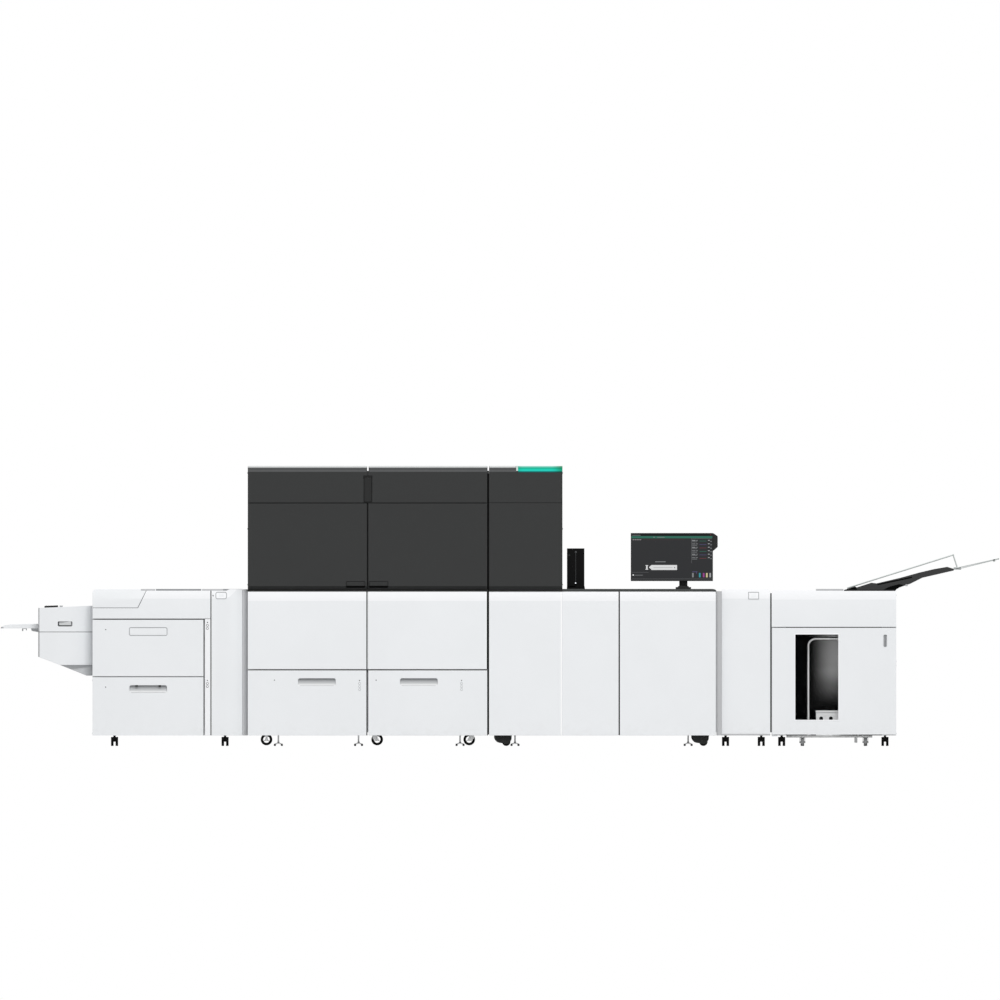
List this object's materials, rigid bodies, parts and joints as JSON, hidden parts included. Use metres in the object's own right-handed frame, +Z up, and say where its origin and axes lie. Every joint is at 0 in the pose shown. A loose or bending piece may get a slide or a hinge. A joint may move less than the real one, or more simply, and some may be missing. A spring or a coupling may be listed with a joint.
{
  "type": "digital production press",
  "caption": "Long digital production press: side inserter, paper feeder with drawers, tall print engine with doors, exit section with worktop and monitor, decurler, and stacker with tray.",
  "frame": {"origin": "on the floor, under the centre of the whole line's bounding box", "axes": "+X along the line from the inserter to the output tray, +Y to the back (the fronts face -Y), +Z up"},
  "size_m": [6.65, 1.1, 1.865],
  "materials": {
    "white_cover": "satin white moulded and powder-coated covers",
    "dark_cover": "dark grey fine-textured covers",
    "trim_grey": "dark grey top trim",
    "light_grey": "light grey satin paint",
    "black_plastic": "black fine-textured plastic",
    "sheet_metal": "zinc-plated folded sheet steel",
    "worktop_dark": "dark laminate worktop",
    "status_teal": "translucent teal light strip",
    "tyre": "black rubber wheels",
    "smoked_glass": "smoked clear window",
    "wire": "plated wire"
  },
  "bodies": {
    "line": {"inserter_upper_cover": "white_cover", "inserter_lower_cover": "white_cover", "inserter_drive_box": "light_grey", "inserter_controls": "black_plastic", "inserter_tray": "light_grey", "feeder_cabinet": "white_cover", "feeder_lid": "white_cover", "feeder_indicator_strip": "white_cover", "interface_tower": "white_cover", "interface_trim": "light_grey", "cabinet_casters": "black_plastic", "press_frame": "white_cover", "press_upper_body": "dark_cover", "top_trim": "trim_grey", "top_covers": "dark_cover", "door_ledge": "black_plastic", "white_panels": "white_cover", "press_wheels": "tyre", "wheel_brackets": "sheet_metal", "levelling_feet": "sheet_metal", "caster_covers": "black_plastic", "exit_base": "white_cover", "exit_tower": "dark_cover", "docking_plates": "black_plastic", "exit_dark_cover": "dark_cover", "status_light": "status_teal", "end_trim": "light_grey", "worktop": "worktop_dark", "computer": "black_plastic", "monitor_stand": "black_plastic", "decurler_tower": "white_cover", "decurler_rail": "light_grey", "stacker_cabinet": "white_cover", "stack_cart": "sheet_metal", "cart_handle": "wire", "output_tray_base": "black_plastic", "output_tray_extension": "light_grey", "output_tray_rail": "wire"},
    "feeder_upper_drawer": {"feeder_upper_drawer_front": "white_cover", "feeder_upper_drawer_bin": "sheet_metal"},
    "feeder_lower_drawer": {"feeder_lower_drawer_front": "white_cover", "feeder_lower_drawer_bin": "sheet_metal"},
    "left_door": {"press_left_door": "dark_cover"},
    "right_door": {"press_right_door": "dark_cover"},
    "left_drawer": {"press_left_drawer_front": "white_cover", "press_left_drawer_bin": "sheet_metal"},
    "right_drawer": {"press_right_drawer_front": "white_cover", "press_right_drawer_bin": "sheet_metal"},
    "monitor": {"monitor_head": "black_plastic"},
    "stacker_door": {"stacker_door": "white_cover", "stacker_window": "smoked_glass"}
  },
  "joints": [
    {"name": "feeder_upper_slide", "type": "slide", "parent": "line", "child": "feeder_upper_drawer", "axis": [0, -1, 0], "range_m": [0, 0.45]},
    {"name": "feeder_lower_slide", "type": "slide", "parent": "line", "child": "feeder_lower_drawer", "axis": [0, -1, 0], "range_m": [0, 0.45]},
    {"name": "left_drawer_slide", "type": "slide", "parent": "line", "child": "left_drawer", "axis": [0, -1, 0], "range_m": [0, 0.45]},
    {"name": "right_drawer_slide", "type": "slide", "parent": "line", "child": "right_drawer", "axis": [0, -1, 0], "range_m": [0, 0.45]},
    {"name": "left_door_hinge", "type": "hinge", "parent": "line", "child": "left_door", "pos_m": [-1.67, -0.54, 1.3], "axis": [0, 0, -1], "range_deg": [0, 90]},
    {"name": "right_door_hinge", "type": "hinge", "parent": "line", "child": "right_door", "pos_m": [-0.09, -0.54, 1.3], "axis": [0, 0, 1], "range_deg": [0, 90]},
    {"name": "stacker_door_hinge", "type": "hinge", "parent": "line", "child": "stacker_door", "pos_m": [1.819, -0.51, 0.4], "axis": [0, 0, -1], "range_deg": [0, 100]},
    {"name": "monitor_tilt", "type": "hinge", "parent": "line", "child": "monitor", "pos_m": [1.221, -0.182, 1.258], "axis": [-1, 0, 0], "range_deg": [-5, 20]}
  ]
}
